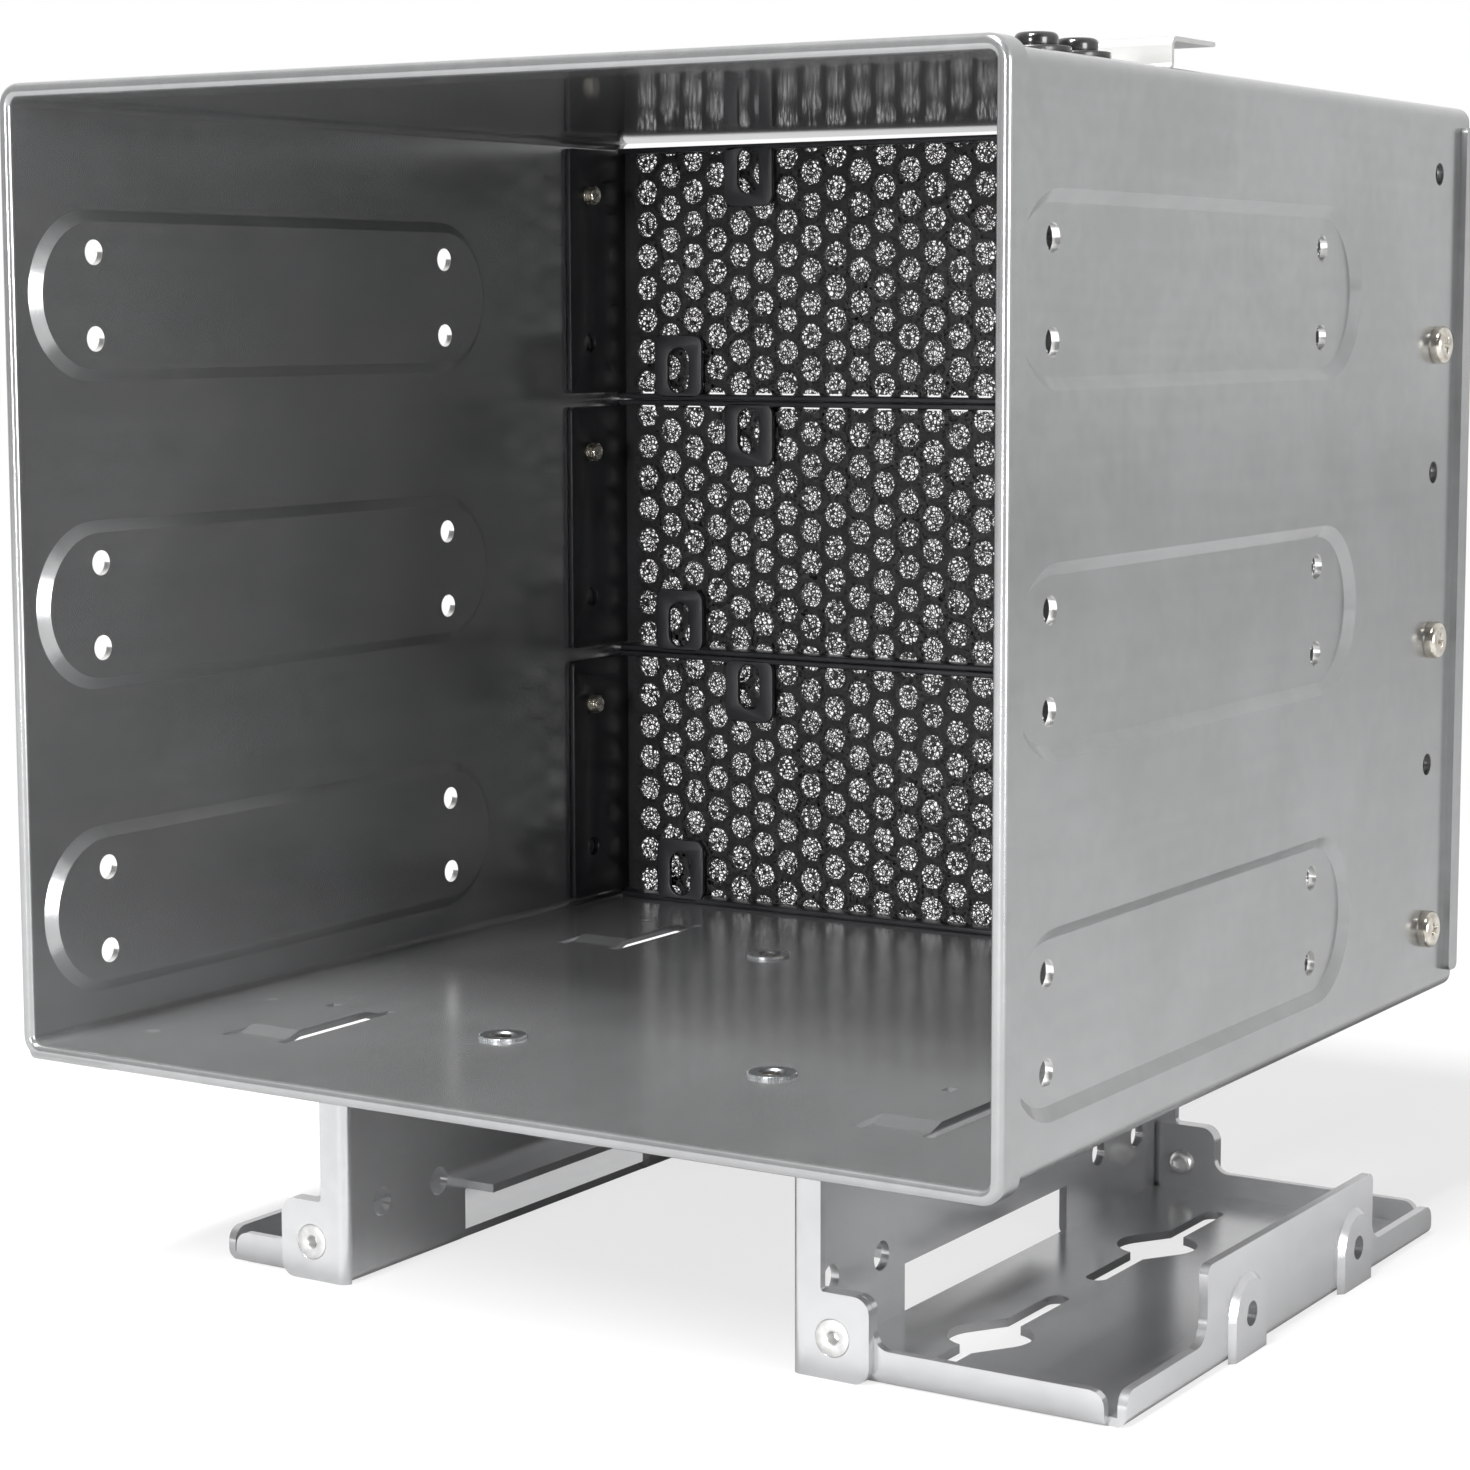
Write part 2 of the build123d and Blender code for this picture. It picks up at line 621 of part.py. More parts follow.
def make_top_bracket():
    """Thin Z-shaped spring bracket: foot on the ceiling, riser and ledge to the rear."""
    x1 = wall_outer - top_bracket_inset
    x0 = x1 - top_bracket_width
    y0 = cage_front + top_bracket_setback
    riser = y0 + top_bracket_foot
    top = ceiling_top + top_bracket_height
    line = FilletPolyline(
        (y0, ceiling_top + top_sheet / 2),
        (riser - top_sheet / 2, ceiling_top + top_sheet / 2),
        (riser - top_sheet / 2, top - top_sheet / 2),
        (riser + top_bracket_ledge, top - top_sheet / 2),
        radius=top_bend_radius,
    )
    section = offset(line, top_sheet / 2, side=Side.BOTH)
    section = make_face(section)
    bracket = extrude_x(section, x0, x1)
    for x, y in top_screw_places():
        bracket -= drill_z((top_screw_diameter + screw_hole_play) / 2, x, y, ceiling_top, ceiling_top + 2 * top_sheet)
    return bracket


def make_top_washers():
    """Two round washers between the top screws and the bracket."""
    washers = []
    for x, y in top_screw_places():
        z0 = ceiling_top + top_sheet
        washer = drill_z(washer_diameter / 2, x, y, z0, z0 + washer_thickness)
        washer = chamfer(washer.edges().group_by(Axis.Z)[-1], washer_thickness * 0.3)
        washer -= drill_z((top_screw_diameter + screw_hole_play) / 2, x, y, z0, z0 + washer_thickness)
        washers.append(washer)
    return washers


def make_top_screws():
    """Two pan-head screws that hold the top bracket to the ceiling."""
    stack = washer_thickness + top_sheet + sheet
    screw = pan_screw(top_screw_head, top_screw_head_height, top_screw_diameter, stack)
    seat = ceiling_top + top_sheet + washer_thickness
    return [Pos(x, y, seat) * screw for x, y in top_screw_places()]


def save(name, shape):
    """Write one node, a single solid or a group of separate ones."""
    if isinstance(shape, list):
        shape = Compound(children=shape)
    export_step(shape, "parts/" + name + ".step")


os.makedirs("parts", exist_ok=True)
save("cage_shell", make_cage())
for bay in range(bay_count):
    save("bay_cover_" + bay_name(bay), make_cover(bay))
    save("foam_filter_" + bay_name(bay), make_foam(bay))
for side, side_name in ((-1, "left"), (1, "right")):
    save("cover_screws_" + side_name, make_cover_screws(side))
    save("press_nuts_" + side_name, make_press_nuts(side))
    save("foot_bracket_" + side_name, make_foot(side))
    save("foot_rivets_" + side_name, make_foot_rivets(side))
    save("foot_screws_" + side_name, make_foot_screws(side))
save("top_bracket", make_top_bracket())
save("top_bracket_washers", make_top_washers())
save("top_bracket_screws", make_top_screws())
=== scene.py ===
"""Looks of the drive mounting frame: zinc-plated sheet, black covers, filter foam and fasteners."""
from math import pi, radians, sqrt

import bmesh
import bpy
from mathutils import Matrix, Vector


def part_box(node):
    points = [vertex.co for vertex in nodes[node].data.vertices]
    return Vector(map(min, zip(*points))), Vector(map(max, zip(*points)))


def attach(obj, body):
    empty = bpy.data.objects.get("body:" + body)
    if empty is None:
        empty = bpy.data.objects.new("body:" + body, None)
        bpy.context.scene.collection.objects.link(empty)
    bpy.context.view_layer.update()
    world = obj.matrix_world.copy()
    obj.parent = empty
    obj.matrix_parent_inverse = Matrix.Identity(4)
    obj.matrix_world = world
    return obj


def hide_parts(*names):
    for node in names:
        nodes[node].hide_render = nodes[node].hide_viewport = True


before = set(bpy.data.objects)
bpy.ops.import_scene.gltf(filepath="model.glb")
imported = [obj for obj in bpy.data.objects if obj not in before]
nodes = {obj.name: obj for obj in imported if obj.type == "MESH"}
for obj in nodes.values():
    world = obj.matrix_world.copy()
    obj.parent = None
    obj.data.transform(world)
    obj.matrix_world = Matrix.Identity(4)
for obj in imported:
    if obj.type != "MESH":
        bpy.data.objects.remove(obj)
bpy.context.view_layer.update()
mm = 0.001

# Sizes of the real object, in metres, in the same frame as the solids
floor_top = 33.2 * mm
bay_pitch = 42.75 * mm
levels = ("bottom", "middle", "top")
sides = ((-1, "left"), (1, "right"))
wall_outer = 75.3 * mm
ceiling_inner = 162.4 * mm

# Covers
cover_rear = 72.8 * mm
cover_sheet = 0.8 * mm
cover_front = 68.2 * mm
cover_half_width = 74.15 * mm
cover_height = 42.45 * mm
cover_low = floor_top + 0.125 * mm
cover_seam = 0.1 * mm
flange_depth = 17.0 * mm

# Hexagon vents
vent_pitch = bay_pitch / 8
vent_column = vent_pitch * sqrt(3) / 2
vent_first = -69.03 * mm
vent_last = 69.9 * mm
vent_web = 1.3 * mm
vent_corner = 0.7 * mm
vent_columns = 34
vent_rows = 10

# Foam clips
clip_width = 9.4 * mm
clip_length = 10.5 * mm
clip_band = 2.2 * mm
clip_neck = 0.9 * mm
clip_slot = 4.1 * mm
clip_corner = 1.9 * mm
clip_low_reach = 60.3 * mm
clip_high_reach = 46.4 * mm

# Screws, nuts and rivets
thread_radius = 1.5 * mm
thread_pitch = 0.5 * mm
flange_hole_radius = 1.6 * mm
washer_bore_radius = 1.65 * mm
nut_bore_radius = 1.45 * mm
screw_line = 61.3 * mm
screw_low = 9.5 * mm
screw_high = 33.9 * mm
nut_across = 22 * mm
nut_along = 35 * mm
foot_screw_seat = 31.0 * mm
rivet_across = 41.9 * mm
rivet_along = 53.0 * mm
rivet_height = 5.4 * mm

# Outputs of the texture coordinate node
generated = 0
surface_normal = 1
object_place = 3


# ---------------------------------------------------------------- camera, light and ground

def set_camera():
    """Camera where the photograph was taken from."""
    data = bpy.data.cameras.new("camera")
    camera = bpy.data.objects.new("camera", data)
    bpy.context.scene.collection.objects.link(camera)
    camera.location = (0.2507, -0.4049, 0.1328)
    camera.rotation_euler = (radians(83.363), radians(0.101), radians(32.145))
    data.sensor_width = 36.0
    data.lens = 82.27
    data.shift_x = -0.0081
    data.shift_y = -0.0197
    data.clip_start = 0.01
    data.clip_end = 50.0
    bpy.context.scene.camera = camera


def softbox(name, place, target, width, height, power):
    """Rectangular studio lamp that faces the target."""
    data = bpy.data.lights.new(name, "AREA")
    data.shape = "RECTANGLE"
    data.size = width
    data.size_y = height
    data.energy = power
    lamp = bpy.data.objects.new(name, data)
    bpy.context.scene.collection.objects.link(lamp)
    lamp.location = place
    lamp.visible_camera = False
    aim = Vector(target) - Vector(place)
    lamp.rotation_euler = aim.to_track_quat("-Z", "Y").to_euler()


class Value:
    """A shader value. Arithmetic on it adds Math nodes, and node() adds any other node."""

    def __init__(self, tree, socket=None):
        self.tree = tree
        self.socket = socket

    def node(self, kind, settings=None, inputs=None, output=0):
        """New node with its settings and the values or links of its sockets; gives one output."""
        made = self.tree.nodes.new("ShaderNode" + kind)
        for name, setting in (settings or {}).items():
            setattr(made, name, setting)
        for name, value in (inputs or {}).items():
            if isinstance(value, Value):
                self.tree.links.new(value.socket, made.inputs[name])
            else:
                made.inputs[name].default_value = value
        return Value(self.tree, made.outputs[output]) if made.outputs else Value(self.tree)

    def maths(self, operation, *values):
        """Math node on the given values."""
        return self.node("Math", {"operation": operation}, dict(enumerate(values)))

    def __abs__(self):
        return self.maths("ABSOLUTE", self)

    def __add__(self, other):
        return self.maths("ADD", self, other)

    def __radd__(self, other):
        return self.maths("ADD", other, self)

    def __sub__(self, other):
        return self.maths("SUBTRACT", self, other)

    def __rsub__(self, other):
        return self.maths("SUBTRACT", other, self)

    def __mul__(self, other):
        return self.maths("MULTIPLY", self, other)

    def __gt__(self, other):
        return self.maths("GREATER_THAN", self, other)

    def __lt__(self, other):
        return self.maths("LESS_THAN", self, other)

    def step(self, low, high):
        """0 below low, 1 above high and smooth between."""
        return self.node("MapRange", {"interpolation_type": "SMOOTHSTEP"},
                         {0: self, 1: low, 2: high, 3: 0.0, 4: 1.0})

    def mix(self, low, high):
        """Colour that goes from low to high as this value goes from 0 to 1."""
        return self.node("Mix", {"data_type": "RGBA"}, {0: self, 6: low, 7: high}, output=2)


def finish_of(name):
    """New material with an empty tree, and a value to start its shader from."""
    material = bpy.data.materials.new(name)
    material.use_nodes = True
    tree = material.node_tree
    tree.nodes.clear()
    return material, Value(tree)


def close(start, shader):
    """Link a shader to the material's output."""
    start.node("OutputMaterial", None, {"Surface": shader})


def stretched(start, scale):
    """Object coordinates with each axis scaled, so that a pattern can run along one of them."""
    place = start.node("TexCoord", output=object_place)
    return start.node("Mapping", None, {"Vector": place, "Scale": scale})


def noise(start, scale, detail=3.0, roughness=0.5, vector=None, distortion=0.0):
    """Noise value between about 0.25 and 0.75."""
    vector = vector or start.node("TexCoord", output=object_place)
    return start.node("TexNoise", None, {"Vector": vector, "Scale": scale, "Detail": detail,
                                         "Roughness": roughness, "Distortion": distortion})


def axis_of(start, axis, output=object_place):
    """One coordinate of the object's own space, in metres, or of another texture coordinate."""
    place = start.node("TexCoord", output=output)
    return start.node("SeparateXYZ", None, {0: place}, output=axis)


# ---------------------------------------------------------------- finishes

def painted_highlight_on_hole_rims(start):
    """1 on the punched rims of the drive holes, where a near-white highlight is painted, and 0 on
    the rest of the cage.
    """
    across = abs(axis_of(start, 0))
    sideways = abs(axis_of(start, 0, surface_normal))
    depth = axis_of(start, 1)
    height = axis_of(start, 2)
    in_panel = (across > 73.05 * mm) * (across < 74.25 * mm) * (sideways < 0.4)
    in_rows = (height > 40 * mm) * (height < 150 * mm)
    return in_panel * (depth > -64 * mm) * (depth < 30 * mm) * in_rows


def on_ceiling(start):
    """1 on the inner face of the cage's ceiling behind the mouth and 0 on the rest."""
    height = axis_of(start, 2)
    above = height.step(ceiling_inner - 1.6 * mm, ceiling_inner - 0.6 * mm)
    below = 1.0 - height.step(ceiling_inner + 0.4 * mm, ceiling_inner + 0.7 * mm)
    behind_mouth = axis_of(start, 1).step(-66 * mm, -60 * mm)
    return above * below * behind_mouth


def zinc_sheet(name, dark, light, grain_axis, gloss=0.325, metallic=0.7, caged=False):
    """Zinc-plated rolled sheet: faint mottling, fine rolling grain and a few rubs.

    The caged sheet also has a near-white highlight painted on its hole rims and is smoother on the
    inside of its ceiling.
    Each sheet's roughness stays wholly on one side of 0.27, where the render is clean.
    """
    material, start = finish_of(name)
    grain_scale = [520.0, 520.0, 520.0]
    grain_scale[grain_axis] = 30.0
    grain = noise(start, 1.0, 1.0, 0.5, stretched(start, grain_scale))
    clouds = noise(start, 34.0, 5.0, 0.6, distortion=0.4)
    mottle = noise(start, 420.0, 2.0, 0.5)
    rubs_scale = [70.0, 70.0, 70.0]
    rubs_scale[grain_axis] = 12.0
    rubs = noise(start, 1.0, 2.0, 0.5, stretched(start, rubs_scale)).step(0.55, 0.80)
    tone = (clouds * 0.65 + mottle * 0.2 + grain * 0.15).step(0.3, 0.7) + rubs * 0.2
    colour = tone.mix(dark, light)
    rough = gloss + (clouds - 0.5) * 0.08 + (grain - 0.5) * 0.03 - rubs * 0.02
    if caged:
        # Painted highlight: the rims of the drive holes are coloured near white to stand in for the
        # light they catch
        colour = painted_highlight_on_hole_rims(start).mix(colour, (0.92, 0.92, 0.90, 1))
        rough = rough * (1.0 - on_ceiling(start) * 0.68)
    bump = start.node("Bump", None, {"Strength": 0.04, "Distance": 0.05 * mm, "Height": mottle})
    shader = start.node("BsdfPrincipled", None, {
        "Base Color": colour, "Metallic": metallic, "Roughness": rough, "Normal": bump,
        "Specular IOR Level": 0.15})
    close(start, shader)
    return material


def powder_black():
    """Black powder coat with a very fine pebble."""
    material, start = finish_of("black_powder_coat")
    pebble = noise(start, 3200.0, 2.0, 0.5)
    clouds = noise(start, 60.0, 3.0, 0.6)
    colour = clouds.step(0.35, 0.7).mix((0.010, 0.010, 0.012, 1), (0.022, 0.023, 0.026, 1))
    rough = 0.42 + (pebble - 0.5) * 0.3 + (clouds - 0.5) * 0.1
    bump = start.node("Bump", None, {"Strength": 0.25, "Distance": 0.04 * mm, "Height": pebble})
    shader = start.node("BsdfPrincipled", None, {
        "Base Color": colour, "Roughness": rough, "Normal": bump, "Specular IOR Level": 0.45})
    close(start, shader)
    return material


def open_foam():
    """Black open-cell foam: thin struts round open cells, frayed at the pad's ends."""
    material, start = finish_of("open_cell_foam")
    place = start.node("TexCoord", output=object_place)
    sway = start.node("TexNoise", None, {"Vector": place, "Scale": 900.0, "Detail": 1.0}, output=1)
    reach = 0.35 * mm
    swayed = start.node("VectorMath", {"operation": "MULTIPLY_ADD"},
                        {0: sway, 1: (reach, reach, reach), 2: place})
    wall = start.node("TexVoronoi", {"feature": "DISTANCE_TO_EDGE"},
                      {"Vector": swayed, "Scale": 1250.0})
    clumps = noise(start, 500.0, 2.0, 0.5)
    struts = wall < 0.078 + (clumps - 0.5) * 0.08
    fray = noise(start, 1400.0, 3.0, 0.6)
    frayed_end = 70.8 * mm
    kept = abs(axis_of(start, 0)) + (fray - 0.5) * (4.5 * mm) < frayed_end
    glint = noise(start, 2600.0, 1.0, 0.5)
    colour = glint.step(0.5, 0.8).mix((0.006, 0.006, 0.006, 1), (0.030, 0.029, 0.028, 1))
    shader = start.node("BsdfPrincipled", None, {
        "Base Color": colour, "Roughness": 0.5, "Alpha": struts * kept})
    close(start, shader)
    return material


def plated(name, dark, light, rough):
    """Bright plated metal of small fasteners, with faint stains and fine scratches."""
    material, start = finish_of(name)
    stain = noise(start, 700.0, 3.0, 0.6)
    scratch = noise(start, 1.0, 4.0, 0.7, stretched(start, (5200.0, 900.0, 900.0)))
    colour = stain.step(0.3, 0.7).mix(dark, light)
    roughness = rough + (scratch - 0.5) * 0.16
    soft_edge = start.node("Bevel", {"samples": 4}, {"Radius": 0.12 * mm})
    bump = start.node("Bump", None, {
        "Strength": 0.12, "Distance": 0.02 * mm, "Height": scratch, "Normal": soft_edge})
    shader = start.node("BsdfPrincipled", None, {
        "Base Color": colour, "Metallic": 1.0, "Roughness": roughness, "Normal": bump})
    close(start, shader)
    return material


def glossy_black(name, rough):
    """Black oxide on hard fasteners, or moulded black washers, by how rough it is."""
    material, start = finish_of(name)
    haze = noise(start, 420.0, 3.0, 0.6)
    colour = haze.step(0.3, 0.7).mix((0.010, 0.010, 0.010, 1), (0.026, 0.025, 0.024, 1))
    roughness = rough + (haze - 0.5) * 0.2
    bump = start.node("Bump", None, {"Strength": 0.1, "Distance": 0.02 * mm, "Height": haze})
    shader = start.node("BsdfPrincipled", None, {
        "Base Color": colour, "Roughness": roughness, "Normal": bump, "Coat Weight": 0.3})
    close(start, shader)
    return material


def studio_ground():
    """Pale ground that keeps the object's shadow and fades into the white backdrop."""
    bpy.ops.mesh.primitive_circle_add(vertices=96, radius=3.0, fill_type="NGON", location=(0, 0, 0))
    ground = bpy.context.object
    ground.name = "ground"
    material, start = finish_of("pale_ground")
    place = start.node("TexCoord", output=object_place)
    away = start.node("VectorMath", {"operation": "LENGTH"}, {0: place}, output=1)
    speck = noise(start, 30.0, 2.0, 0.5)
    camera = start.node("LightPath")
    glossy = Value(start.tree, camera.socket.node.outputs["Is Glossy Ray"])
    colour = speck * 0.03 + camera * 0.44 + 0.50
    matt = start.node("BsdfDiffuse", None, {"Color": colour})
    white = start.node("Emission", None, {"Color": (1, 1, 1, 1), "Strength": 1.0})
    behind = axis_of(start, 1).step(-0.5, 0.1)
    seen = camera * (0.74 + away.step(0.10, 0.5) * 0.26)
    mirrored = glossy * away.step(0.10, 0.40) * behind * 0.5
    shader = start.node("MixShader", None, {0: seen + mirrored, 1: matt, 2: white})
    close(start, shader)
    ground.data.materials.append(material)


def studio_world():
    """White to the camera; a backdrop and a card at the side in reflections; else a soft level."""
    world = bpy.data.worlds.new("studio")
    bpy.context.scene.world = world
    world.use_nodes = True
    tree = world.node_tree
    tree.nodes.clear()
    start = Value(tree)
    camera = start.node("LightPath")
    outputs = camera.socket.node.outputs
    glossy = Value(tree, outputs["Is Glossy Ray"])
    through = Value(tree, outputs["Is Transmission Ray"])
    backdrop = axis_of(start, 1, generated).step(-0.6, 0.3) * 0.84
    card = axis_of(start, 0, generated).step(0.62, 0.90) * 0.89
    mirrored = glossy * start.maths("MAXIMUM", backdrop, card)
    strength = 0.11 + (camera + through) * 0.89 + mirrored
    light = start.node("Background", None, {"Color": (1, 1, 1, 1), "Strength": strength})
    start.node("OutputWorld", None, {"Surface": light})


# ---------------------------------------------------------------- modelling helpers

def deselect():
    """Nothing is selected and nothing is in edit mode."""
    if bpy.context.object and bpy.context.object.mode != "OBJECT":
        bpy.ops.object.mode_set(mode="OBJECT")
    bpy.ops.object.select_all(action="DESELECT")


def only(piece):
    """Only this piece is selected and active."""
    deselect()
    piece.select_set(True)
    bpy.context.view_layer.objects.active = piece


def settle(piece):
    """Bring the piece's place, turn and size into its mesh."""
    only(piece)
    bpy.ops.object.transform_apply(location=True, rotation=True, scale=True)


def shape(piece, kind, **settings):
    """Add a modifier to the piece and apply it."""
    only(piece)
    modifier = piece.modifiers.new(kind.lower(), kind)
    for name, value in settings.items():
        setattr(modifier, name, value)
    bpy.ops.object.modifier_apply(modifier=modifier.name)


def edit(piece, mode="FACE"):
    """Edit mode with nothing selected; gives the mesh that is being edited."""
    only(piece)
    bpy.ops.object.mode_set(mode="EDIT")
    bpy.ops.mesh.select_mode(type=mode)
    bpy.ops.mesh.select_all(action="DESELECT")
    return bmesh.from_edit_mesh(piece.data)


def pick(piece, mesh, kind, test):
    """Select the faces, edges or vertices for which the test holds."""
    for item in getattr(mesh, kind):
        if test(item):
            item.select_set(True)
    mesh.select_flush_mode()
    bmesh.update_edit_mesh(piece.data)


def done():
    """Back to object mode."""
    bpy.ops.object.mode_set(mode="OBJECT")


def rounded(piece, width, segments, degrees):
    """Bevel the edges that turn by more than the angle."""
    shape(piece, "BEVEL", width=width, segments=segments, limit_method="ANGLE",
          angle_limit=radians(degrees))


def smooth(piece, degrees=35):
    """Smooth shading over the edges that turn by less than the angle."""
    only(piece)
    bpy.ops.object.shade_smooth_by_angle(angle=radians(degrees))


def face_out():
    """In edit mode: all faces of the closed piece point outwards."""
    bpy.ops.mesh.select_all(action="SELECT")
    bpy.ops.mesh.normals_make_consistent(inside=False)


def drop(piece):
    """Delete a piece that was only copied or only cut with."""
    bpy.data.objects.remove(piece, do_unlink=True)


def copied(piece, matrix):
    """Copy of a piece with its own mesh, moved and turned by the matrix."""
    only(piece)
    bpy.ops.object.duplicate()
    copy = bpy.context.object
    copy.matrix_world = matrix @ copy.matrix_world
    settle(copy)
    return copy


def joined(pieces, name):
    """One piece made of several."""
    deselect()
    for piece in pieces:
        piece.select_set(True)
    bpy.context.view_layer.objects.active = pieces[0]
    if len(pieces) > 1:
        bpy.ops.object.join()
    piece = bpy.context.object
    piece.name = name
    piece.data.name = name
    return piece


def box_piece(x0, x1, y0, y1, z0, z1):
    """Plain block between two corners, as a start."""
    deselect()
    middle = ((x0 + x1) / 2, (y0 + y1) / 2, (z0 + z1) / 2)
    bpy.ops.mesh.primitive_cube_add(size=1.0, location=middle)
    piece = bpy.context.object
    piece.scale = (x1 - x0, y1 - y0, z1 - z0)
    settle(piece)
    return piece


def cylinder_piece(radius, depth, place, turn=(0, 0, 0), corners=48):
    """Plain cylinder, as a start or as a cutter."""
    deselect()
    bpy.ops.mesh.primitive_cylinder_add(vertices=corners, radius=radius, depth=depth,
                                        location=place, rotation=turn)
    piece = bpy.context.object
    settle(piece)
    return piece


def cut(piece, cutters):
    """Take the cutters away from the piece."""
    tool = joined(cutters, "cutter")
    shape(piece, "BOOLEAN", operation="DIFFERENCE", solver="EXACT", object=tool, use_self=True)
    drop(tool)


def wear(piece, material, slot, *replaced):
    """Give the piece its finish and its place in the frame."""
    piece.data.materials.clear()
    piece.data.materials.append(material)
    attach(piece, "root")
    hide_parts(*replaced)


# ---------------------------------------------------------------- vented covers

def vent_sheet(name):
    """The bottom cover's plate: a hexagonal cell, inset, repeated, cut to size and thickened."""
    deselect()
    bpy.ops.mesh.primitive_circle_add(vertices=6, radius=vent_pitch / sqrt(3), fill_type="NGON",
                                      rotation=(pi / 2, pi / 6, 0), location=(0, 0, 0))
    cell = bpy.context.object
    cell.name = name
    settle(cell)
    mesh = edit(cell)
    pick(cell, mesh, "faces", lambda f: True)
    bpy.ops.mesh.inset(thickness=vent_web / 2, use_even_offset=True)
    bpy.ops.mesh.bevel(offset=vent_corner, segments=2, affect="VERTICES")
    done()
    half = copied(cell, Matrix.Translation((vent_column, 0, vent_pitch / 2)))
    cell = joined([cell, half], name)
    for count, step in ((vent_columns // 2, (2 * vent_column, 0, 0)),
                        (vent_rows, (0, 0, vent_pitch))):
        shape(cell, "ARRAY", count=count, use_relative_offset=False, use_constant_offset=True,
              constant_offset_displace=step)
    low, high = cover_low, cover_low + cover_height
    lowest_row = cover_low + cover_height / 2 - vent_rows / 2 * vent_pitch
    cell.location = (vent_first - vent_column, cover_rear - cover_sheet, lowest_row)
    settle(cell)
    shape(cell, "WELD", merge_threshold=0.02 * mm)
    mesh = edit(cell)

    def is_vent(face):
        across = face.calc_center_median().x
        return face.calc_area() > 6 * mm * mm and vent_first - mm < across < vent_last
    pick(cell, mesh, "faces", is_vent)
    bpy.ops.mesh.delete(type="FACE")
    cuts = (((0, 0, low), (0, 0, -1)), ((0, 0, high), (0, 0, 1)),
            ((-cover_half_width, 0, 0), (-1, 0, 0)), ((cover_half_width, 0, 0), (1, 0, 0)))
    for place, normal in cuts:
        bpy.ops.mesh.select_all(action="SELECT")
        bpy.ops.mesh.bisect(plane_co=place, plane_no=normal, clear_outer=True)
    done()
    shape(cell, "SOLIDIFY", thickness=cover_sheet, offset=-1.0)
    edit(cell)
    face_out()
    done()
    rounded(cell, 0.1 * mm, 1, 50)
    return cell


def cover_flange(side):
    """Side flange with two screw holes."""
    outer = side * cover_half_width
    x0, x1 = sorted((outer, outer - side * cover_sheet))
    low = cover_low + mm
    high = cover_low + cover_height - mm
    flange = box_piece(x0, x1, cover_rear - flange_depth, cover_rear - cover_sheet / 2, low, high)
    mesh = edit(flange, "EDGE")
    pick(flange, mesh, "edges", lambda e: abs(e.verts[0].co.x - e.verts[1].co.x) > cover_sheet / 2
         and e.verts[0].co.y < cover_rear - flange_depth / 2)
    bpy.ops.mesh.bevel(offset=0.9 * mm, segments=4, affect="EDGES")
    done()
    cutters = []
    for rise in (screw_low, screw_high):
        place = (outer - side * cover_sheet / 2, screw_line, cover_low + rise)
        cutters.append(cylinder_piece(flange_hole_radius, 4 * mm, place, (0, pi / 2, 0), 32))
    cut(flange, cutters)
    rounded(flange, 0.12 * mm, 2, 40)
    return flange


def rounded_plate(x, z, width, height, radius, y0, y1):
    """Upright plate with rounded corners, its middle at x and z, from y0 to y1."""
    plate = box_piece(x - width / 2, x + width / 2, y0, y1, z - height / 2, z + height / 2)
    mesh = edit(plate, "EDGE")
    pick(plate, mesh, "edges", lambda e: abs(e.verts[0].co.y - e.verts[1].co.y) > (y1 - y0) / 2)
    bpy.ops.mesh.bevel(offset=radius, segments=8, affect="EDGES")
    done()
    return plate


def foam_clip(centre, up):
    """Flat rounded loop bent out of the cover's edge to hold the foam."""
    sunk = 0.2 * mm
    base = cover_low + sunk if up else cover_low + cover_height - sunk
    way = 1 if up else -1
    clip = rounded_plate(centre, base + way * clip_length / 2, clip_width, clip_length,
                         clip_corner, cover_front, cover_front + cover_sheet)
    slot = clip_length - clip_band - clip_neck
    hole = rounded_plate(centre, base + way * (clip_neck + slot / 2), clip_slot, slot,
                         clip_corner, cover_front - mm, cover_front + 2 * mm)
    cut(clip, [hole])
    rounded(clip, 0.2 * mm, 3, 40)
    return clip


def cover_ledge(z0, z1):
    """Narrow flange along the cover's top or bottom edge."""
    reach = cover_half_width - cover_sheet - mm
    ledge = box_piece(-reach, reach, cover_front, cover_rear - cover_sheet / 2, z0, z1)
    rounded(ledge, 0.25 * mm, 3, 40)
    return ledge


def lower_top_edge(cover, top):
    """The uppermost cover's edge hangs a little below the ceiling, more so towards the right."""
    sag, slant, pivot = 0.6 * mm, 0.0042, -40 * mm
    mesh = edit(cover, "VERT")
    pick(cover, mesh, "verts", lambda v: v.co.z > top - cover_sheet - 0.15 * mm)
    bpy.ops.transform.translate(value=(0, 0, -sag))
    bpy.ops.transform.rotate(value=slant, orient_axis="Y",
                             center_override=(pivot, cover_rear, top))
    done()


def make_covers(material):
    """Three covers, the bottom one modelled and the others copied up by one bay each."""
    low, high = cover_low, cover_low + cover_height
    parts = [vent_sheet("cover_plate"), cover_flange(-1), cover_flange(1),
             cover_ledge(low - cover_seam, low + cover_sheet),
             cover_ledge(high - cover_sheet, high + cover_seam)]
    for side in (-1, 1):
        parts.append(foam_clip(side * clip_low_reach, True))
        parts.append(foam_clip(side * clip_high_reach, False))
    cover = joined(parts, "vented_cover_bottom")
    smooth(cover)
    covers = [cover]
    for bay, level in enumerate(levels[1:], start=1):
        copy = copied(cover, Matrix.Translation((0, 0, bay * bay_pitch)))
        copy.name = "vented_cover_" + level
        covers.append(copy)
    lower_top_edge(covers[2], high + 2 * bay_pitch)
    for piece, level in zip(covers, levels):
        wear(piece, material, "black_steel", "bay_cover_" + level)


# ---------------------------------------------------------------- foam pads

